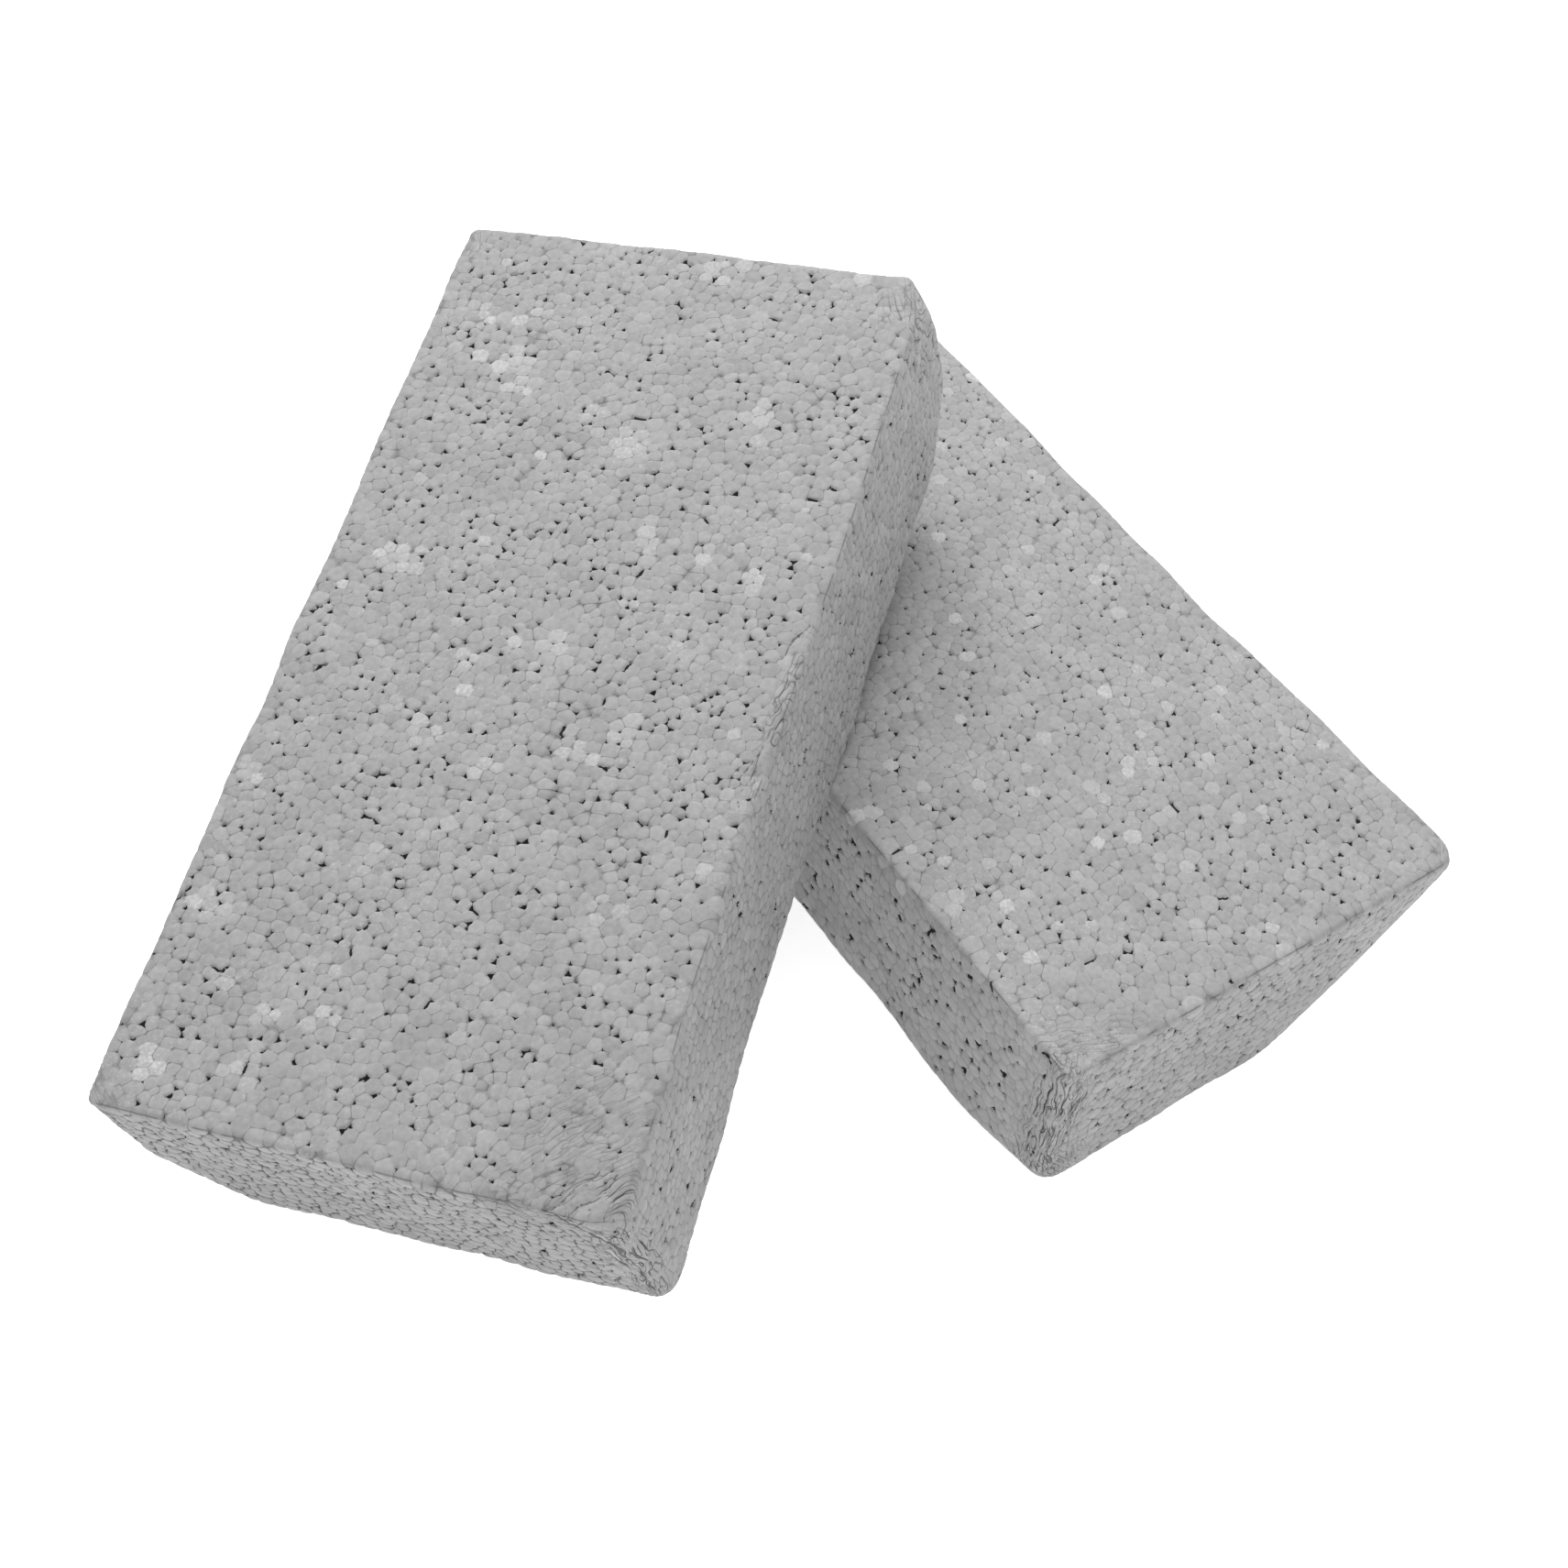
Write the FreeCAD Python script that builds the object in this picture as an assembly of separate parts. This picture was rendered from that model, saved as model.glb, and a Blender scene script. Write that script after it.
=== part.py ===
"""Two matching bricks of fused-bead foam, as used for holding flower stems.

One brick lies flat. The other leans on it: one bottom corner of the leaning brick stands on the
floor, and its underside rests along a long top edge of the lying brick. Millimetres and degrees.

The origin is the centre of the lying brick's underside, +Y runs along that brick's length, +Z
is up, and the leaning brick rises towards +X.
"""

import FreeCAD, Part
import math
import os

from FreeCAD import Matrix, Placement, Vector

# Each brick
BRICK_LENGTH = 200.0
BRICK_WIDTH = 100.0
BRICK_THICKNESS = 42.0
CORNER_RADIUS = 2.0  # the four upright corners, seen from above
EDGE_RADIUS = 1.0  # the rims of the two large faces

# How the leaning brick lies
LEAN_ANGLE = 17.15  # its underside against the floor
SWING_ANGLE = 39.35  # its length against the steepest line of its underside
FOOT_SHIFT = -12.9  # its foot corner along the lying brick, from that brick's middle
REST_CLEARANCE = 0.3  # left between the two bricks where they touch


def brick():
    """One brick, standing on the XY plane with its length along Y."""
    low = Vector(-BRICK_WIDTH / 2, -BRICK_LENGTH / 2, 0)
    block = Part.makeBox(BRICK_WIDTH, BRICK_LENGTH, BRICK_THICKNESS, low)
    upright = [edge for edge in block.Edges if abs(edge.tangentAt(0).z) > 0.5]
    block = block.makeFillet(CORNER_RADIUS, upright)
    rims = [edge for edge in block.Edges if edge.BoundBox.ZLength < EDGE_RADIUS]
    return block.makeFillet(EDGE_RADIUS, rims)


def leaning_axes():
    """The leaning brick's width, length and thickness directions."""
    lean = math.radians(LEAN_ANGLE)
    swing = math.radians(SWING_ANGLE)
    uphill = Vector(math.cos(lean), 0, math.sin(lean))
    across = Vector(0, 1, 0)
    width = uphill * math.sin(swing) - across * math.cos(swing)
    length = uphill * math.cos(swing) + across * math.sin(swing)
    return width, length, width.cross(length)


def foot_drop(width, length, thickness):
    """How far the foot corner's rounded tip stands above its sharp corner point.

    The foot corner is the one at low width, low length and low thickness.
    """
    tip = width * CORNER_RADIUS + length * CORNER_RADIUS + thickness * EDGE_RADIUS
    lean = math.radians(LEAN_ANGLE)
    return tip.z - (CORNER_RADIUS - EDGE_RADIUS) * math.sin(lean) - EDGE_RADIUS


def leaning_placement():
    """Where a brick goes to rest on the lying brick's long edge with its foot on the floor."""
    width, length, thickness = leaning_axes()
    lean = math.radians(LEAN_ANGLE)
    # The underside passes the round of the lying brick's left top edge at the clearance.
    centre = Vector(EDGE_RADIUS - BRICK_WIDTH / 2, 0, BRICK_THICKNESS - EDGE_RADIUS)
    over_edge = centre + thickness * (EDGE_RADIUS + REST_CLEARANCE)
    # The foot corner goes down that plane until its rounded tip is on the floor.
    fall = (over_edge.z + foot_drop(width, length, thickness)) / math.sin(lean)
    uphill = Vector(math.cos(lean), 0, math.sin(lean))
    foot = over_edge - uphill * fall + Vector(0, FOOT_SHIFT, 0)
    middle = foot + width * (BRICK_WIDTH / 2) + length * (BRICK_LENGTH / 2)
    turn = Matrix()
    turn.setCol(0, width)
    turn.setCol(1, length)
    turn.setCol(2, thickness)
    place = Placement(turn)
    place.Base = middle
    return place


def main():
    os.makedirs("parts", exist_ok=True)
    lying = brick()
    leaning = brick()
    leaning.Placement = leaning_placement()
    for name, shape in (("lying_brick", lying), ("leaning_brick", leaning)):
        shape.exportStep(f"parts/{name}.step")
        print(f"{name}: {shape.Volume / 1000:.1f} cm3")
    print(f"between the bricks: {lying.distToShape(leaning)[0]:.3f} mm")


main()
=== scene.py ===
# %% [markdown]
# # Two bricks of fused-bead foam
#
# A florist's dry foam brick like this one is moulded from thousands of small expanded beads.
# Steam swells them in a mould until they press flat against its walls and against each other.
# Each bead shows on the surface as a low dome with a thin seam round it, and where three beads
# didn't quite meet there is a small dark pit. This file makes two such bricks, one flat and one
# leaning on it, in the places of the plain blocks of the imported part.

# %% Load the frame
import math

import bmesh
import bpy
import numpy as np
from mathutils import Matrix, Vector, kdtree


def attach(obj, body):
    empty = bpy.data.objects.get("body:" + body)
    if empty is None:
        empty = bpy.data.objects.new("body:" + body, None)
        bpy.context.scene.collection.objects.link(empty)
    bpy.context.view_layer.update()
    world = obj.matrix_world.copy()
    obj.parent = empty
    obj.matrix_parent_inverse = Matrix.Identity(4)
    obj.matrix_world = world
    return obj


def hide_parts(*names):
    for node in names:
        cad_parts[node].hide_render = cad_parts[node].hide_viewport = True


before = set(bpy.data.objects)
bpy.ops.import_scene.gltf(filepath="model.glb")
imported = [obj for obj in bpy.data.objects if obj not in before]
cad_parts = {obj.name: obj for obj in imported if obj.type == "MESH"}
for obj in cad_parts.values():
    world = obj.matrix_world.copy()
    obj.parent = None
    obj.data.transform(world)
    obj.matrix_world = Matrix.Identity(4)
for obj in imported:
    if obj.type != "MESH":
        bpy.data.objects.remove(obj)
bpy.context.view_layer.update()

MM = 0.001

# %% [markdown]
# ## Where each brick lies
#
# The bricks are modelled lying straight on their own axes, because a bead layer is far easier to
# lay out on a straight block, and each is then carried to its place. That place is read from the
# packed block: its largest face gives the direction of its thickness, and the largest face
# square to that one gives the direction of its width, whichever way the block is tilted.

# %% Read each brick's place
SQUARE = 0.01  # two directions whose cosine is under this count as square to each other


def brick_place(node):
    """The matrix from a brick's own axes (width, length, thickness) to its place, and its size."""
    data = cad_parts[node].data
    area = np.array([p.area for p in data.polygons])
    facing = np.array([p.normal for p in data.polygons])
    up = Vector(facing[area.argmax()])
    up = up if up.z > 0 else -up
    beside = np.abs(facing @ np.array(up)) < SQUARE
    side = Vector(facing[np.where(beside, area, 0).argmax()])
    along = up.cross(side).normalized()
    along = along if along.y > 0 else -along
    turn = Matrix((along.cross(up).normalized(), along, up)).transposed()
    co = np.array([v.co for v in data.vertices]) @ np.array(turn)
    low, high = Vector(co.min(0)), Vector(co.max(0))
    foot = turn @ Vector(((low.x + high.x) / 2, (low.y + high.y) / 2, low.z))
    return Matrix.Translation(foot) @ turn.to_4x4(), high - low


places = {node: brick_place(node) for node in ("lying_brick", "leaning_brick")}
for node, (_, size) in places.items():
    print(node, "measures", tuple(round(v / MM, 1) for v in size), "mm")

# %% [markdown]
# ## The blank
#
# The real brick takes its block shape from a smooth-walled mould. Here the blank is a cube
# stretched to size and cut into an even grid, fine enough for several points across each bead.
# An even grid has no poles or long thin faces, so the beads pressed into it look alike everywhere.

# %% Cut an even block
GRID = 0.42 * MM


def even_block(size):
    """A closed block on its own axes, standing on z = 0, with square faces about GRID wide."""
    bm = bmesh.new()
    bmesh.ops.create_cube(bm, size=1.0)
    bmesh.ops.scale(bm, vec=size, verts=bm.verts)
    bmesh.ops.translate(bm, vec=(0, 0, size.z / 2), verts=bm.verts)
    for axis in range(3):
        runs = [e for e in bm.edges if abs((e.verts[0].co - e.verts[1].co)[axis]) > GRID]
        cuts = round(size[axis] / GRID) - 1
        bmesh.ops.subdivide_edges(bm, edges=runs, cuts=cuts, use_grid_fill=True)
    return bm


print("grid of", GRID / MM, "mm")

# %% [markdown]
# ## Reading and moving points in bulk
#
# A brick has hundreds of thousands of points. Reading and writing them one by one in Python would
# take minutes, so foreach_get and foreach_set copy them all at once to and from a numpy array.

# %% Copy points to and from a mesh
def points_of(mesh):
    co = np.empty(len(mesh.vertices) * 3)
    mesh.vertices.foreach_get("co", co)
    return co.reshape(-1, 3)


def put_points(mesh, co):
    mesh.vertices.foreach_set("co", co.ravel())
    mesh.update()


def normals_of(mesh):
    facing = np.empty(len(mesh.vertices) * 3)
    mesh.vertex_normals.foreach_get("vector", facing)
    return facing.reshape(-1, 3)

# %% [markdown]
# ## Rounded corners and rims
#
# The mould's upright corners are a little rounder than the rims of the two large faces, which are
# nearly crisp. A Bevel would make long corner faces in the even grid, so the grid's own points
# are slid onto the rounds instead: first in plan, then over the rim.

# %% Slide the grid onto the rounds
CORNER = 2.0 * MM
RIM = 1.0 * MM
TINY = 1e-12  # keeps a division safe where a point doesn't move


def rounded(co, size):
    half = np.array([size.x / 2, size.y / 2])
    inner = np.clip(co[:, :2], CORNER - half, half - CORNER)
    out = co[:, :2] - inner
    length = np.maximum(np.linalg.norm(out, axis=1), TINY)
    out *= (np.abs(out).max(1) / length)[:, None]
    reach = np.linalg.norm(out, axis=1)
    inset = CORNER - reach
    depth = np.minimum(co[:, 2], size.z - co[:, 2])
    on_rim = (inset < RIM) & (depth < RIM)
    sideways, upwards = RIM - inset, RIM - depth
    span = np.maximum(np.hypot(sideways, upwards), TINY)
    new_inset = np.where(on_rim, RIM - RIM * sideways / span, inset)
    new_depth = np.where(on_rim, RIM - RIM * upwards / span, depth)
    out *= ((CORNER - new_inset) / np.maximum(reach, TINY))[:, None]
    lift = np.where(co[:, 2] < size.z / 2, new_depth - depth, depth - new_depth)
    return np.column_stack([inner + out, co[:, 2] + lift])


print("corners", CORNER / MM, "mm round, rims", RIM / MM, "mm round")

# %% [markdown]
# ## Knocks and sags
#
# Foam this soft never stays a true block. A soft plane cut stands for a blunted corner: whatever
# stands beyond the plane is pressed back onto it, with a smooth turn at its edge. A long side
# that was squeezed in a hand or a box is pulled in a little over a stretch of its length.

# %% Press corners and sides
SAG_FROM = 0.6  # how far out from the middle a sag begins, as a share of the half width


def ease(x):
    """0 below 0, 1 above 1, and a smooth turn between."""
    x = np.clip(x, 0, 1)
    return x * x * (3 - 2 * x)


def soft_step(x):
    """x where it is above 1, 0 where it is below -1, and a smooth turn between."""
    return np.where(x > 1, x, np.where(x < -1, 0, (x + 1) ** 2 / 4))


def press_corner(co, size, corner, cuts, softness):
    """Presses a corner onto the plane that crosses its three edges at these distances from it."""
    side = np.array(corner, float)
    tip = np.array([side[0] * size.x / 2, side[1] * size.y / 2, size.z * (side[2] > 0)])
    normal = side / (np.array(cuts) * MM)
    height = 1 / np.linalg.norm(normal)
    normal *= height
    softness *= MM
    beyond = (co - tip) @ normal + height
    return co - normal * (softness * soft_step(beyond / softness))[:, None]


def press_side(co, size, depth, middle, reach):
    """Pulls the right-hand long side in, most at this place along it. All are in millimetres."""
    outer = ease((co[:, 0] / (size.x / 2) - SAG_FROM) / (1 - SAG_FROM))
    pull = depth * MM * outer * np.exp(-((co[:, 1] / MM - middle) / reach) ** 2)
    return co - np.outer(pull, (1, 0, 0))

# %% [markdown]
# ## Slow random waves
#
# Several steps need a smooth random field: to make a face slightly uneven, to let a line wander,
# or to lay creases side by side. A sum of a few sine waves with random directions is the simplest
# one, and unlike a noise texture it also gives its slope, which turns its value into a distance.

# %% Add up sine waves
SINES = 14
RIDGE_SPREAD = 0.17  # how far ridges stray from lying side by side


def wave_field(co, length, seed, across=(0, 0, 0)):
    """A smooth random field of about -1 to 1, and its slope.

    With a direction across, its bumps are long ridges that lie side by side that way.
    """
    rng = np.random.default_rng(seed)
    total, slope = np.zeros(len(co)), np.zeros((len(co), 3))
    for _ in range(SINES):
        way = rng.normal(size=3)
        if any(across):
            way = np.array(across) + RIDGE_SPREAD * way
        else:
            way /= np.linalg.norm(way)
        way *= 2 * math.pi / length * rng.uniform(0.6, 1.3)
        phase = co @ way + rng.uniform(0, 2 * math.pi)
        total += np.sin(phase)
        slope += np.cos(phase)[:, None] * way
    return total / math.sqrt(SINES), slope / math.sqrt(SINES)


def waves(co, length, seed):
    return wave_field(co, length, seed)[0]


def wave_shifts(co, length, seed):
    """A shift for each point, with a random wave of its own in each of the three directions."""
    return np.column_stack([waves(co, length, seed + k) for k in range(3)])


def along_surface(vectors, facing):
    """What is left of the vectors when their part along the normal is dropped."""
    return vectors - facing * (vectors * facing).sum(1)[:, None]

# %% [markdown]
# ## The bead layer
#
# The beads behind a moulded face lie in one crowded layer. They could be drawn with a cell
# texture, but its cells are too uneven in size for beads that were once round. Here each bead is
# a point just under the surface with a radius of its own. They start at random, then push each
# other apart until they lie as evenly as real ones, also round the edges of the block.

# %% Lay out the beads
LAYER = 0.8 * MM  # depth of the bead centres under the surface
BEAD_PITCH = {"face": 2.95 * MM, "side": 3.0 * MM, "end": 2.8 * MM}
CROWDING = 0.94  # bead rows start this much closer than the pitch
SIZE_SPREAD = 0.16
SMALL_SHARE, SMALL_SIZE = 0.08, 0.62
PUSHES = 20
PUSH = 0.4
NEIGHBOURS = 8


def onto_layer(beads, half):
    """Each bead goes straight to the nearest wall of the layer's box."""
    beads = np.clip(beads, -half, half)
    wall = (half - np.abs(beads)).argmin(1)
    rows = np.arange(len(beads))
    beads[rows, wall] = np.copysign(half[wall], beads[rows, wall])
    return beads


def scatter_wall(half, axis, wall, pitch, rng):
    """Bead centres and radii on one wall of the layer's box: one bead at random in each cell."""
    a, b = [k for k in range(3) if k != axis]
    rows, columns = (round(2 * half[k] / (CROWDING * pitch)) for k in (a, b))
    spots = np.zeros((rows * columns, 3))
    cells = np.indices((rows, columns)).reshape(2, -1) + rng.random((2, rows * columns))
    spots[:, a] = (cells[0] / rows * 2 - 1) * half[a]
    spots[:, b] = (cells[1] / columns * 2 - 1) * half[b]
    spots[:, axis] = wall * half[axis]
    spread = 1 + SIZE_SPREAD * np.clip(rng.normal(size=len(spots)), -2.2, 1.8)
    small = rng.random(len(spots)) < SMALL_SHARE
    return spots, pitch / 2 * np.where(small, SMALL_SIZE * spread, spread)


def tree_of(beads):
    tree = kdtree.KDTree(len(beads))
    for k, spot in enumerate(beads):
        tree.insert(spot, k)
    tree.balance()
    return tree


def push_apart(beads, radii):
    """One step of beads away from the neighbours that they overlap."""
    tree = tree_of(beads)
    near = np.array([[n[1] for n in tree.find_n(spot, NEIGHBOURS + 1)] for spot in beads])[:, 1:]
    away = beads[:, None] - beads[near]
    gap = np.maximum(np.linalg.norm(away, axis=2), 1e-9)
    crowd = np.maximum(radii[:, None] + radii[near] - gap, 0)
    return beads + PUSH * (away / gap[..., None] * crowd[..., None]).sum(1)


def lay_beads(size, stretch, seed):
    """Bead centres on the brick's own axes, stretched, and their radii."""
    rng = np.random.default_rng(seed)
    half = np.array(size) / 2 * stretch - LAYER
    walls = []
    for axis, kind in ((2, "face"), (0, "side"), (1, "end")):
        for wall in (-1, 1):
            walls.append(scatter_wall(half, axis, wall, BEAD_PITCH[kind], rng))
    beads, radii = (np.concatenate(parts) for parts in zip(*walls))
    for _ in range(PUSHES):
        beads = onto_layer(push_apart(beads, radii), half)
    return beads + np.array([0, 0, size.z / 2]), radii


print("beads about", BEAD_PITCH["face"] / MM, "mm apart on the large faces")

# %% [markdown]
# ## Distances to the beads
#
# For every point of the grid, the distances to the nearest beads tell all that is needed. Where
# the two nearest are equally far there is a seam, and where three are there may be a pit. A
# kd-tree finds the nearest beads quickly. Chances are worked out from the beads' own numbers, so
# every point round the same seam or pit gets the same answer.

# %% Measure from the beads
def nearest_beads(co, beads, radii, count=6):
    """Indices of the nearest beads of each point, nearest first, and distances from their skins."""
    tree = tree_of(beads)
    near = np.array([[n[1] for n in tree.find_n(spot, count)] for spot in co])
    gap = np.linalg.norm(co[:, None] - beads[near], axis=2)
    skin = gap - np.hypot(radii[near], LAYER)
    order = skin.argsort(1)
    return np.take_along_axis(near, order, 1), np.take_along_axis(skin, order, 1)


def chance(*numbers):
    """A number from 0 to 1 that only depends on these whole numbers, in any order."""
    prime, step = 2147483647, 48271
    key = sum(np.int64(n) * n * 7919 + n * 104729 for n in numbers) % prime
    key = key * step % prime
    return key * step % prime / prime


def slide_to_seams(co, facing, beads, near, skin):
    """Slides points beside a seam onto it, and gives each point's distance from its seam."""
    across = along_surface(beads[near[:, 1]] - beads[near[:, 0]], facing)
    across /= np.maximum(np.linalg.norm(across, axis=1), 1e-9)[:, None]
    seam = skin[:, 1] - skin[:, 0]
    close = seam < GRID
    return co + across * np.where(close, seam / 2, 0)[:, None], np.where(close, 0, seam)

# %% [markdown]
# ## Pits
#
# A pit is a narrow well where three beads meet, with arms that reach a little way along their
# seams. Only some bead triples have one, most of them small. A few seams are also parted along
# their length. The long sides, ends and large faces differ, so a look holds three values for
# each fact, and a point's squared normal says how much of each it takes.

# %% Find the pits
NO_PIT = -0.4 * MM
SMALLEST_PIT, PIT_RANGE = 0.3, 0.8  # as shares of the look's pit size
PIT_TAPER = 0.48
ARM_TAPER = 0.65
SLIT_SHARE, SLIT_WIDTH, SLIT_TAPER = 0.025, 0.22 * MM, 0.5


def pits(near, skin, seam, weight, plain, look):
    """How far inside a pit each point is, in metres: below 0 it is outside."""
    share = weight @ np.array(look["pit_share"])
    widest = weight @ np.array(look["pit_size"]) * MM
    luck = chance(near[:, 0], near[:, 1], near[:, 2])
    width = SMALLEST_PIT + PIT_RANGE * np.maximum(1 - luck / share, 0) ** 2
    gap = np.where(luck < share, plain * widest * width, NO_PIT)
    pit = gap - PIT_TAPER * (skin[:, 2] - skin[:, 0]) - ARM_TAPER * seam
    parted = chance(near[:, 0], near[:, 1]) < SLIT_SHARE * share
    slit = np.where(parted, SLIT_WIDTH, NO_PIT) - SLIT_TAPER * seam
    return np.maximum(pit, np.minimum(slit, SLIT_TAPER * (skin[:, 2] - skin[:, 1])))

# %% [markdown]
# ## Domes and seams
#
# The surface bulges over each bead and dips towards its seams, and it drops into each pit. The
# mesh carries that shape, and the distances are kept as attributes of the mesh, so the material
# can paint shade into seams and pits with an outline sharper than the grid.

# %% Press the beads into the surface
DOME_DEPTH = 0.09 * MM
DOME_EDGE = 0.7 * MM
SEAM_DEPTH = 0.07 * MM
SEAM_WIDTH = 0.30 * MM
PIT_DEPTH = 0.8 * MM
PIT_WALL = 0.3 * MM
BEAD_RISE = 0.02 * MM  # how much whole beads stand out or in
RISE_EDGE = 0.6 * MM
FAINT_SEAM = 0.17 * MM  # a seam's line is thinned by up to this much
SIDE_SEAM = 1.2  # how much wider the lines are on sides and ends than on the large faces
RIM_CUT = 1.8  # how fast pits go as a face turns away from all three directions


def bead_relief(co, facing, beads, radii, look, calm, seed):
    """Points slid to the seams, their beads, how far to press them in, and facts for the material."""
    near, skin = nearest_beads(co, beads, radii)
    co, seam = slide_to_seams(co, facing, beads, near, skin)
    weight = facing ** 2
    rise = np.random.default_rng(seed).normal(0, BEAD_RISE, len(beads))[near[:, 0]]
    rise *= ease(seam / RISE_EDGE)
    dome = np.clip((skin[:, 0] + DOME_EDGE) / DOME_EDGE, 0, 1.5) ** 2
    groove = np.exp(-seam / SEAM_WIDTH)
    relief = calm * (weight @ np.array(look["relief"]))
    # Rims have no pits: a face that turns away from all three directions is on a rim.
    plain = np.clip(1 - RIM_CUT * (1 - weight.max(1)), 0, 1) * calm
    pit = pits(near, skin, seam, weight, plain, look)
    dip = relief * (DOME_DEPTH * dome + SEAM_DEPTH * groove - rise)
    dip += PIT_DEPTH * ease(pit / PIT_WALL)
    faint = FAINT_SEAM * chance(near[:, 0], near[:, 1])
    line = (seam + faint) / (1 + SIDE_SEAM * (1 - weight[:, 2]))
    facts = {"skin": skin[:, 0] / MM, "seam": line / MM, "pit": pit / MM}
    facts["outline"] = calm * (weight @ np.array(look["outline"]))
    return co, near[:, 0], dip, facts


print("domes", DOME_DEPTH / MM, "mm and pits", PIT_DEPTH / MM, "mm deep")

# %% [markdown]
# ## White beads
#
# Here and there a small cluster of beads took less of the grey tint and stays whiter. Each
# cluster is a random bead of a large face and most of its neighbours, each with its own
# whiteness.

# %% Choose the white beads
FACE_LEVEL = 18 * MM  # beads this far above or below the middle belong to a large face
WHITE_SHARE = 0.8  # how many of a cluster's beads are white


def white_clusters(beads, count, reach, seed):
    """How white each bead is: up to 1 in a cluster, 0 for most."""
    rng = np.random.default_rng(seed)
    white = np.zeros(len(beads))
    faces = np.flatnonzero(np.abs(beads[:, 2] - beads[:, 2].mean()) > FACE_LEVEL)
    for _ in range(count):
        away = np.linalg.norm(beads - beads[rng.choice(faces)], axis=1)
        close = away < rng.uniform(0.3, 1.0) * reach * MM
        each = rng.uniform(0.35, 1.0) * rng.uniform(0.4, 1.1, len(beads))
        white = np.where(close & (rng.random(len(beads)) < WHITE_SHARE), each, white)
    return white

# %% [markdown]
# ## Creases and folds
#
# Where a corner was crushed, the skin is creased in many fine lines that lie side by side. They
# are the lines where a ridged random field crosses zero. The field divided by its slope is the
# distance from such a line, with a sign, and the sign keeps a thin line crisp between two points
# of the grid. The few deep folds are listed instead, as short lines through given points.

# %% Lay out creases and folds
FAR = 5 * MM  # stands for a distance that no longer matters
WANDER, WANDER_LENGTH = 0.5 * MM, 5 * MM
LONG_CREASE, SHORT_CREASE = 3.2 * MM, 2.2 * MM  # lengths of the waves that make the creases
FOLD_LENGTH = 7 * MM  # a fold's width changes over about this length
CRUSH_REACH = 1.4  # a crushed spot fades out at this share of its reach


def from_line(co, ends):
    """Distance of each point from a line through these points, in metres."""
    best = np.full(len(co), 1.0)
    for a, b in zip(ends, ends[1:]):
        a, b = np.array(a) * MM, np.array(b) * MM
        along = np.clip((co - a) @ (b - a) / ((b - a) @ (b - a)), 0, 1)
        best = np.minimum(best, np.linalg.norm(co - a - along[:, None] * (b - a), axis=1))
    return best


def creases(co, crushed, length, seed):
    """Signed distance from the crease lines in metres, and how crushed the foam is, from 0 to 1."""
    field, slope, crush = np.zeros(len(co)), np.zeros((len(co), 3)), np.zeros(len(co))
    for k, (spot, reach, across, strength) in enumerate(crushed):
        away = np.linalg.norm((co - np.array(spot) * MM) / (np.array(reach) * MM), axis=1)
        here = strength * ease(CRUSH_REACH - away)
        rows = np.flatnonzero(here)
        value, steepness = wave_field(co[rows], length, seed + 9 * k, across)
        field[rows] += here[rows] * value
        slope[rows] += here[rows, None] * steepness
        crush = np.maximum(crush, here)
    line = field / np.maximum(np.linalg.norm(slope, axis=1), np.maximum(crush, 0.01) / length)
    return np.where(crush > 0, line, FAR), crush


def fold_distance(co, shifted, folds, seed):
    """Distance from the edge of the nearest fold, in metres. Folds vary in width as they run."""
    swing = 0.5 + 0.35 * waves(co, FOLD_LENGTH, seed)
    fold = np.full(len(co), FAR)
    for width, ends in folds:
        fold = np.minimum(fold, from_line(shifted, ends) - width / 2 * MM * swing)
    return fold


def crumple(co, facing, folds, crushed, seed):
    """Distances from creases and folds, in millimetres, and how crushed the foam is."""
    wander = wave_shifts(co, WANDER_LENGTH, seed + 70) * WANDER
    long_crease, crush = creases(co + 0.5 * wander, crushed, LONG_CREASE, seed + 3)
    short_crease, _ = creases(co + 0.5 * wander, crushed, SHORT_CREASE, seed + 4)
    # The wander may not lift a fold off the surface.
    fold = fold_distance(co, co + along_surface(wander, facing), folds, seed + 90)
    facts = {"long_crease": long_crease, "short_crease": short_crease, "fold": fold}
    return {name: distance / MM for name, distance in facts.items()}, crush


LONG_DIP, LONG_WIDTH = 0.25 * MM, 0.4  # widths in millimetres, as the facts are
SHORT_DIP, SHORT_WIDTH = 0.12 * MM, 0.3
FOLD_DIP, FOLD_WIDTH = 0.25 * MM, 0.35


def crumple_dip(facts, crush):
    """How deep the creases and folds press the surface in, in metres."""
    long_dip = LONG_DIP * crush * np.exp(-np.abs(facts["long_crease"]) / LONG_WIDTH)
    short_dip = SHORT_DIP * crush * np.exp(-np.abs(facts["short_crease"]) / SHORT_WIDTH)
    return long_dip + short_dip + FOLD_DIP * np.exp(-np.maximum(facts["fold"], 0) / FOLD_WIDTH)


print("folds", FOLD_DIP / MM, "mm deep")

# %% [markdown]
# ## Make one brick
#
# The two bricks are made alike, and only their numbers differ. The beads are worked out on the
# unworn shape and pressed in together with the creases and folds. The knocks come later, so the
# beads at a blunted corner are pressed back with it.

# %% Work out the beads and creases of a brick
CRUSH_DRAG, DRAG_LENGTH = 1.0 * MM, 6 * MM  # how far crushing drags the beads about
CRUSH_CALM = 0.65  # how much flatter the beads are where the foam is crushed
EDGE_CALM, CALM_REACH = 0.55, 1.2 * MM  # and right beside an edge
UNEVEN, UNEVEN_LENGTH = 0.22 * MM, 25 * MM
SWELL = 0.3 * MM  # the whole skin stands out by this much, to make up for the dips
RIM_MIDDLE = 0.8  # where the rim line runs: this angle from the vertical, in radians


def from_edges(co, size):
    """Distance of each point from the nearest edge of the block, along its surface."""
    half = np.array(size) / 2
    walls = half - np.abs(co - np.array([0, 0, half[2]]))
    return np.sort(walls, axis=1)[:, 1]


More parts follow.
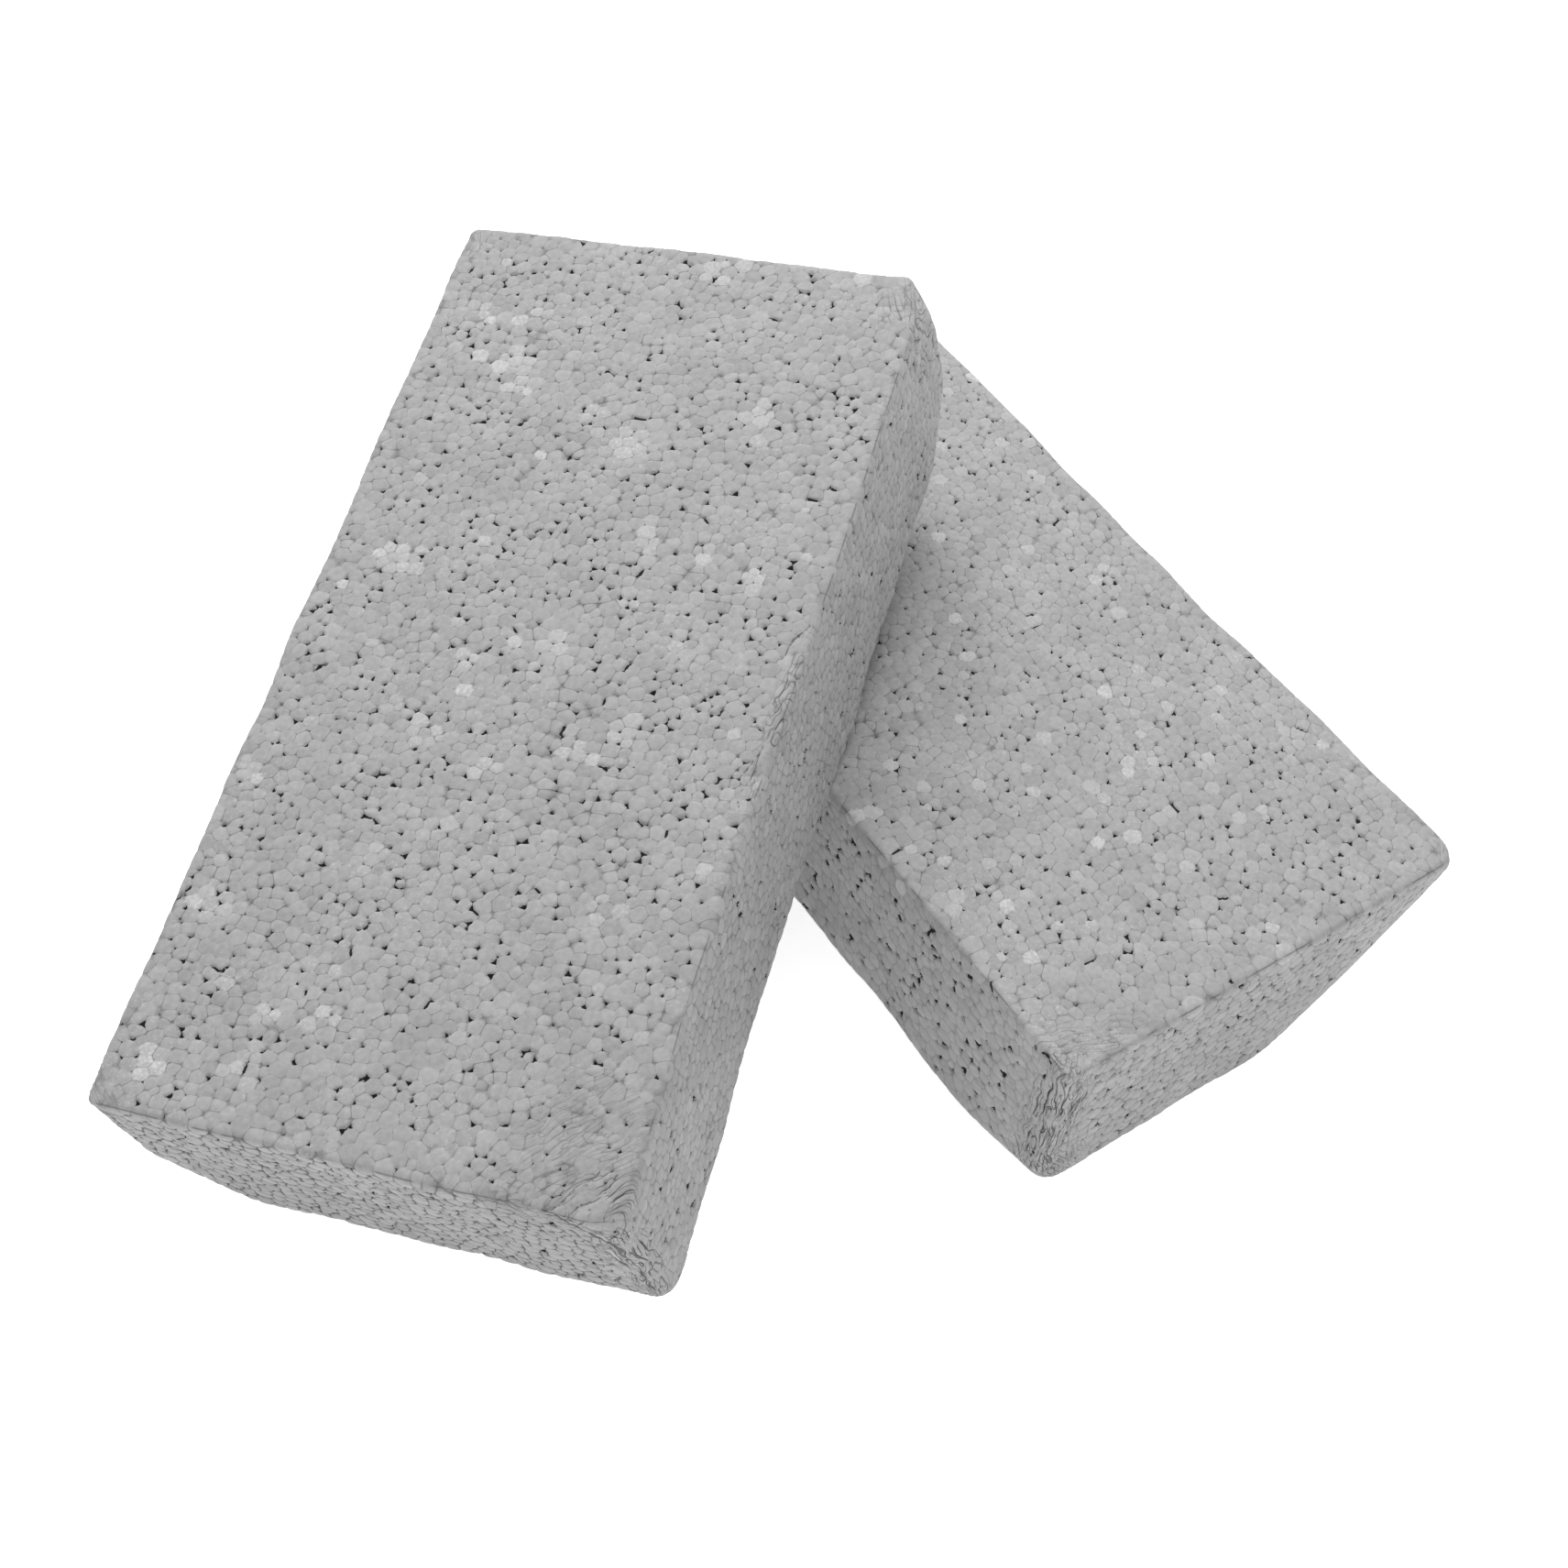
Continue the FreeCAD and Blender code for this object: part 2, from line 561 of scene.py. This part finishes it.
def foam_surface(co, facing, size, seed, look, folds, crushed):
    """Points with beads and creases pressed in, and facts for the material at each point."""
    # Beads lie closer along the brick where the look asks for it, so they end up wide and short.
    stretch = np.array((1, look["rows"], 1))
    beads, radii = lay_beads(size, stretch, seed)
    lines, crush = crumple(co, facing, folds, crushed, seed)
    drag = wave_shifts(co, DRAG_LENGTH, seed + 80) * CRUSH_DRAG
    dragged = (co + crush[:, None] * drag) * stretch
    beside_edge = np.exp(-from_edges(co, size) / CALM_REACH)
    calm = (1 - CRUSH_CALM * crush) * (1 - EDGE_CALM * beside_edge)
    moved, bead, dip, facts = bead_relief(dragged, facing, beads, radii, look, calm, seed + 1)
    co = co + (moved - dragged) / stretch
    dip += crumple_dip(lines, crush) - UNEVEN * waves(co, UNEVEN_LENGTH, seed + 4) - SWELL
    tones = np.clip(np.random.default_rng(seed + 2).normal(0, 1, len(beads)), -2, 2)
    whites = white_clusters(beads, *look["white"], seed + 5)
    rim = RIM * (np.arccos(np.clip(np.abs(facing[:, 2]), 0, 1)) - RIM_MIDDLE)
    facts.update(lines, rim=rim / MM, crush=crush)
    facts.update(tone=tones[bead], white=whites[bead] * (1 - crush))
    print(len(beads), "beads")
    return co - facing * dip[:, None], facts

# %% [markdown]
# ## From points to a brick
#
# The facts go onto the mesh as attributes, one number for each point, and the finished mesh is
# carried to its place. Its object stays at the origin, unturned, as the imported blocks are.

# %% Build the mesh of a brick
def make_brick(node, seed, look, knocks, folds, crushed, sag):
    place, size = places[node]
    mesh = bpy.data.meshes.new(node + "_foam")
    bm = even_block(size)
    bm.to_mesh(mesh)
    bm.free()
    co = rounded(points_of(mesh), size)
    put_points(mesh, co)
    co, facts = foam_surface(co, normals_of(mesh), size, seed, look, folds, crushed)
    for corner, cuts, softness in knocks:
        co = press_corner(co, size, corner, cuts, softness)
    co = press_side(co, size, *sag)
    # The underside stays flat, so nothing sinks into the floor or the other brick.
    co[:, 2] = np.maximum(co[:, 2], 0)
    put_points(mesh, co)
    for name, values in facts.items():
        mesh.attributes.new(name, "FLOAT", "POINT").data.foreach_set("value", values)
    mesh.shade_smooth()
    mesh.transform(place)
    brick = bpy.data.objects.new(node + "_beads", mesh)
    bpy.context.collection.objects.link(brick)
    print(node, "has", len(mesh.polygons) * 2, "triangles")
    return brick

# %% [markdown]
# ## The lying brick
#
# The lying brick has one badly crushed upright corner, with folds that run down it from the top
# face. All its numbers are in millimetres on the brick's own axes.
#
# - look: three values are for the long sides, the ends and the large faces, in that order. White
#   is the number of white clusters and their reach.
# - knocks: a corner by its three signs, how far the cut reaches along its edges, and its softness.
# - folds: a width, and the points that the fold runs through.
# - crushed: a place, its reach, the direction across its creases, and how strong they are.
# - sag: how deep the long side is pulled in, where along it, and how far to each side.

# %% Make the lying brick
lying = make_brick(
    "lying_brick",
    100,
    look={
        "rows": 1.0,
        "relief": (0.8, 1.0, 0.72),
        "outline": (0.24, 0.36, 0.42),
        "pit_share": (0.20, 0.20, 0.22),
        "pit_size": (1.08, 0.90, 0.54),
        "white": (420, 2.6),
    },
    knocks=[
        ((1, -1, 1), (2.5, 3.5, 3.5), 1.5),
        ((-1, -1, -1), (6, 20, 5.5), 2),
        ((1, -1, -1), (28, 16, 30), 9),
        ((-1, 1, -1), (14, 14, 10), 3),
        ((1, 1, -1), (14, 14, 10), 3),
    ],
    folds=[
        (0.4, [(-50, -91.5, 41.8), (-49.4, -95, 42), (-48.2, -98, 41.8)]),
        (0.5, [(-48.2, -98, 41.8), (-49, -99.4, 36), (-49.2, -99.5, 27)]),
        (0.3, [(-49.2, -99.5, 27), (-49.3, -99.5, 18), (-48.7, -99, 8)]),
        (0.3, [(-50, -96, 36), (-50, -97, 28), (-49.8, -98, 18)]),
        (0.3, [(-44, -100, 33), (-46, -100, 24), (-47, -99.8, 14)]),
    ],
    crushed=[
        ((-50, -100, 22), (8, 9, 28), (1, -1, 0), 1.0),
        ((-46, -97, 42), (17, 10, 3), (0.3, 1, 0), 0.6),
        ((-49, -99, 5), (13, 11, 9), (1, -1, 0.7), 0.8),
        ((50, -99, 38), (6, 6, 10), (1, -1, 0), 0.6),
    ],
    sag=(1.2, -12, 26),
)

# %% [markdown]
# ## The leaning brick
#
# The leaning brick is the more worn one: one top corner is crushed, with deep folds round it, and a
# long edge and the corner at its other end are creased as well. Its beads lie closer along its
# length, so they look wide and short, and its ends have the strongest outlines, which also darken
# the ends as a whole as painted shade for the weaker light they get.

# %% Make the leaning brick
leaning = make_brick(
    "leaning_brick",
    200,
    look={
        "rows": 1.17,
        "relief": (0.9, 1.4, 0.75),
        # The strong outline on the ends is partly painted shade that darkens them as a whole.
        "outline": (0.30, 0.80, 0.47),
        "pit_share": (0.10, 0.26, 0.26),
        "pit_size": (1.15, 0.80, 0.60),
        "white": (170, 3.8),
    },
    knocks=[
        ((1, -1, 1), (5, 4.5, 7), 1.5),
        ((1, 1, 1), (4, 9, 12), 1.5),
        ((-1, -1, -1), (13, 13, 13), 4),
        ((1, -1, -1), (3.5, 3.5, 3.5), 1.5),
        ((-1, 1, -1), (12, 12, 10), 3),
        ((1, 1, -1), (12, 12, 10), 3),
    ],
    folds=[
        (0.1, [(37, -99.6, 42), (41.5, -95, 42), (44, -91, 42)]),
        (0.1, [(41, -99.6, 42), (44.5, -96, 42), (47, -91.5, 42)]),
        (0.2, [(30, -100, 41.5), (38, -100, 41)]),
        (1.0, [(38, -100, 41), (44, -100, 36), (46.5, -100, 30)]),
        (0.8, [(46.5, -100, 30), (48, -99.8, 20), (47.5, -100, 6)]),
        (0.4, [(33, -100, 39), (41, -100, 33), (45, -100, 22), (46, -100, 8)]),
        (0.3, [(44, -98, 42), (47.2, -99, 38), (48.5, -99.8, 24)]),
        (0.1, [(49, 19, 41.8), (47, 15, 42), (46.5, 12, 42), (45.8, 9, 42)]),
        (0.2, [(48.8, -3, 41.8), (48, -11, 42), (46, -15, 42)]),
        (0.2, [(48.8, -9, 41.8), (47.5, -16, 42), (47.7, -22, 42)]),
    ],
    crushed=[
        ((40, -92, 42), (15, 20, 3), (0.7, -0.7, 0), 0.55),
        ((46, -98, 42), (11, 9, 5), (0.7, -0.7, 0), 0.9),
        ((38, -100, 39), (17, 4, 6), (0.2, 0, 1), 0.8),
        ((49, -100, 24), (7, 5, 30), (1, 1, 0), 1.0),
        ((49, -2, 42), (2.5, 22, 2.5), (1, 0, 0.5), 0.8),
        ((49, 95, 36), (10, 13, 16), (1, 0.3, 0.3), 0.75),
        ((-49, -98, 38), (7, 7, 10), (1, 1, 0), 0.7),
        ((-49, 97, 42), (4, 8, 4), (1, 0, 0), 0.6),
    ],
    sag=(1.2, -40, 40),
)

# %% [markdown]
# ## Shader maths as expressions
#
# The foam's colour is worked out from a dozen facts, which takes many Math nodes. One small class
# wraps a socket, so that an expression on wrapped sockets adds the nodes that it needs.

# %% Wrap sockets and nodes
class Wire:
    """A shader socket that can be added, multiplied and so on."""

    def __init__(self, finish, socket):
        self.finish, self.socket = finish, socket

    def sum(self, operation, *values):
        inputs = dict(enumerate(values))
        return self.finish.node("ShaderNodeMath", {"operation": operation}, inputs)

    def __add__(self, other):
        return self.sum("ADD", self, other)

    def __sub__(self, other):
        return self.sum("SUBTRACT", self, other)

    def __rsub__(self, other):
        return self.sum("SUBTRACT", other, self)

    def __mul__(self, other):
        return self.sum("MULTIPLY", self, other)

    def __abs__(self):
        return self.sum("ABSOLUTE", self)

    __radd__, __rmul__ = __add__, __mul__


class Finish:
    """A material being built."""

    def __init__(self, name):
        self.material = bpy.data.materials.new(name)
        self.material.use_nodes = True
        self.tree = self.material.node_tree
        self.tree.nodes.clear()

    def node(self, kind, settings, inputs, output=0):
        made = self.tree.nodes.new(kind)
        for name, value in settings.items():
            setattr(made, name, value)
        for name, value in inputs.items():
            if isinstance(value, Wire):
                self.tree.links.new(value.socket, made.inputs[name])
            else:
                made.inputs[name].default_value = value
        return Wire(self, made.outputs[output]) if made.outputs else None

    def fact(self, name):
        """A number kept at each point of the mesh."""
        return self.node("ShaderNodeAttribute", {"attribute_name": name}, {}, "Fac")

    def noise(self, spot, scale, detail=2.0):
        inputs = {"Vector": spot, "Scale": scale, "Detail": detail}
        return self.node("ShaderNodeTexNoise", {}, inputs)

    def step(self, value, low, high):
        """0 below low, 1 above high, and a smooth turn between."""
        inputs = {"Value": value, "From Min": low, "From Max": high}
        return self.node("ShaderNodeMapRange", {"interpolation_type": "SMOOTHSTEP"}, inputs)

    def surface(self, values):
        """Ends the material with a Principled shader that has these values."""
        skin = self.node("ShaderNodeBsdfPrincipled", {}, values)
        self.node("ShaderNodeOutputMaterial", {}, {"Surface": skin})
        return self.material

# %% [markdown]
# ## Grey beads and white beads
#
# The foam is a plain mid grey with no gloss to speak of. Each bead is a slightly different grey,
# and fine noise and slow clouds keep any bead from looking flat. White beads are mottled, and a
# few pale flecks lie about as well: partly pale bits of foam, partly painted glints. Noise scales
# are per metre, so 900 makes marks of about a millimetre.

# %% Colour the beads
FOAM_GREY = 0.295
WHITE_GREY = 0.46
BEAD_TONE = 0.05
FINE_NOISE, CLOUD_NOISE = 0.50, 0.14
FLECK_AND_GLINT = 0.35
FINE, SPECK, CLOUD = 900.0, 1500.0, 60.0  # noise scales


def bead_grey(f, fine, speck, cloud):
    shade = BEAD_TONE * f.fact("tone") + FINE_NOISE * (fine - 0.5) + CLOUD_NOISE * (cloud - 0.5)
    grey = FOAM_GREY * (1 + shade)
    # The flecks are partly real pale specks and partly painted highlights standing in for small
    # glints.
    fleck_and_glint = FLECK_AND_GLINT * f.step(speck, 0.60, 0.70) * f.step(cloud, 0.45, 0.60)
    pale = f.fact("white") * (0.45 + 0.55 * f.step(speck, 0.32, 0.68)) + fleck_and_glint
    return grey + (WHITE_GREY - grey) * pale

# %% [markdown]
# ## Painted shade in the lines between beads, creases and folds
#
# Shade is painted into the colour wherever the surface dips: down the sides of the beads, along the
# seams between them, and in creases and folds. Each kind of line is a distance in millimetres that
# the mesh carries, and a smooth step turns it into a dark band of even width, with noise to break
# it up. The crease shade is wider and darker where the foam is crushed more. The rim of the large
# faces has a broken dark line too.

# %% Darken the lines
# SKIN_SHADE is painted shade down the sides of the beads, towards their seams.
SKIN_SHADE = 0.5  # how much darker it gets down a bead's side, as a share of its outline
CREASE_SHADES = (("long_crease", 0.95), ("short_crease", 0.75))
FOLD_SHADE = 0.70
RIM_SHADE = 0.5
PARTED, BROKEN = 180.0, 160.0  # scales of the noise that breaks creases and the rim line up


# Painted shade: each bead gets darker down its sides, and a dark line runs along each seam, where the
# grooves between beads would be in shade.
def with_seam_shade(f, grey):
    outline = f.fact("outline")
    grey = grey * (1 - SKIN_SHADE * outline * f.step(f.fact("skin"), -0.05, 0.45))
    return grey * (1 - outline * (1 - f.step(f.fact("seam"), 0.0, 0.25)))


# Painted shade in the creases and folds: a dark band along each line, wider and darker where the foam
# is crushed more.
def with_creases(f, grey, spot):
    crush = f.fact("crush")
    parted = f.step(f.noise(spot, PARTED), 0.34, 0.50)
    for crease, shade in CREASE_SHADES:
        line = 1 - f.step(abs(f.fact(crease)), 0.0, 0.09 + 0.11 * crush)
        line = line * crush * (0.35 + 0.65 * crush) * parted
        grey = grey * (1 - shade * line)
    grey = grey * (1 - FOLD_SHADE + FOLD_SHADE * f.step(f.fact("fold"), 0.0, 0.20))
    broken = f.step(f.noise(spot, BROKEN), 0.45, 0.58)
    return grey * (1 - RIM_SHADE * broken * (1 - f.step(abs(f.fact("rim")), 0.0, 0.24)))

# %% [markdown]
# ## The foam material
#
# A pit is painted nearly black: painted shade for the little light that gets in and comes out again.
# Its edge is worked out in the shader, from the distance that the mesh carries, so it stays sharper
# than the grid. A faint bump roughens the skin of the beads.

# %% Put the foam together
# The grey of the pits is painted shade, for the light that the deep pits swallow.
PIT_SHADE_GREY = 0.022
ROUGH, PIT_ROUGH, FINE_ROUGH = 0.72, 0.25, 0.2
BUMP_STRENGTH, BUMP_DEPTH = 0.35, 0.12 * MM


def foam():
    f = Finish("fused_bead_foam")
    spot = f.node("ShaderNodeTexCoord", {}, {}, "Object")
    fine, speck, cloud = f.noise(spot, FINE, 3.0), f.noise(spot, SPECK, 1.0), f.noise(spot, CLOUD)
    grey = with_creases(f, with_seam_shade(f, bead_grey(f, fine, speck, cloud)), spot)
    # hole marks the pits, which get painted shade in the colour below.
    hole = f.step(f.fact("pit"), -0.03, 0.05)
    bumps = {"Strength": BUMP_STRENGTH, "Distance": BUMP_DEPTH, "Height": fine}
    return f.surface({
        "Base Color": grey + (PIT_SHADE_GREY - grey) * hole,
        "Roughness": ROUGH + PIT_ROUGH * hole + FINE_ROUGH * (fine - 0.5),
        "Specular IOR Level": 0.25,
        "Normal": f.node("ShaderNodeBump", {}, bumps),
    })


foam_material = foam()
print("foam material:", len(foam_material.node_tree.nodes), "nodes")

# %% [markdown]
# ## Onto the imported part
#
# Each brick rides on its own body, so it lifts with it, and replaces the plain block of the same
# name.

# %% Attach the bricks
for brick, node, body in (
    (lying, "lying_brick", "lying"),
    (leaning, "leaning_brick", "leaning"),
):
    brick.data.materials.append(foam_material)
    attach(brick, body)
    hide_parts(node)
    print(brick.name, "rides on", body)

# %% [markdown]
# ## Floor
#
# The bricks stand on a white sheet. It gives off a little light of its own, so it stays as white
# as the sky and lights the bricks from below, as a lit table would.

# %% Lay the floor
FLOOR_HALF = 6.0  # metres from the middle to each side
FLOOR_GLOW = 0.65


def floor():
    bm = bmesh.new()
    bmesh.ops.create_grid(bm, x_segments=2, y_segments=2, size=FLOOR_HALF)
    mesh = bpy.data.meshes.new("floor")
    bm.to_mesh(mesh)
    bm.free()
    ground = bpy.data.objects.new("floor", mesh)
    bpy.context.collection.objects.link(ground)
    white = {
        "Base Color": (0.9, 0.9, 0.9, 1),
        "Roughness": 0.9,
        "Specular IOR Level": 0.0,
        "Emission Color": (1, 1, 1, 1),
        "Emission Strength": FLOOR_GLOW,
    }
    mesh.materials.append(Finish("floor_white").surface(white))


floor()
print("floor", 2 * FLOOR_HALF, "m wide")

# %% [markdown]
# ## Light
#
# A white sky lights the bricks from all round, which keeps the shadows faint. One large soft
# light high behind them is stronger than the rest, so each bead has a slightly darker near side.
# The Standard view shows the greys as they are, where the default one would dull the white.

# %% Light the bricks
SKY = 0.9
KEY_SPOT, KEY_AIM = (0.22, 0.5, 0.75), (0, 0, 0.05)
KEY_WIDTH, KEY_WATTS = 0.6, 7.2

world = bpy.data.worlds.new("studio")
world.use_nodes = True
background = world.node_tree.nodes["Background"]
background.inputs["Color"].default_value = (1, 1, 1, 1)
background.inputs["Strength"].default_value = SKY
bpy.context.scene.world = world

key_data = bpy.data.lights.new("key", "AREA")
key_data.size, key_data.energy = KEY_WIDTH, KEY_WATTS
key = bpy.data.objects.new("key", key_data)
key.location = KEY_SPOT
key.rotation_euler = (Vector(KEY_AIM) - Vector(KEY_SPOT)).to_track_quat("-Z", "Y").to_euler()
bpy.context.collection.objects.link(key)
bpy.context.scene.view_settings.view_transform = "Standard"
print("key light", round((Vector(KEY_AIM) - Vector(KEY_SPOT)).length, 2), "m away")

# %% [markdown]
# ## Camera
#
# The camera looks down on both bricks from about half a metre away. A camera looks along its own
# -Z with +Y up, so its axes are built from the direction it looks in and the one that is up in
# the picture.

# %% Place the camera
SENSOR, LENS = 36.0, 51.65
VIEW_FROM = (-0.2361, -0.2293, 0.3879)
VIEW_AHEAD, VIEW_UP = (0.4043, 0.4781, -0.7797), (0.3929, 0.6790, 0.6201)

view_data = bpy.data.cameras.new("camera")
view_data.sensor_width, view_data.lens = SENSOR, LENS
view_data.clip_start, view_data.clip_end = 0.01, 50
camera = bpy.data.objects.new("camera", view_data)
ahead = Vector(VIEW_AHEAD).normalized()
right = ahead.cross(Vector(VIEW_UP)).normalized()
turn = Matrix((right, right.cross(ahead), -ahead)).transposed()
camera.matrix_world = Matrix.Translation(VIEW_FROM) @ turn.to_4x4()
bpy.context.collection.objects.link(camera)
bpy.context.scene.camera = camera
print("camera", round(Vector(VIEW_FROM).length, 2), "m from the origin")
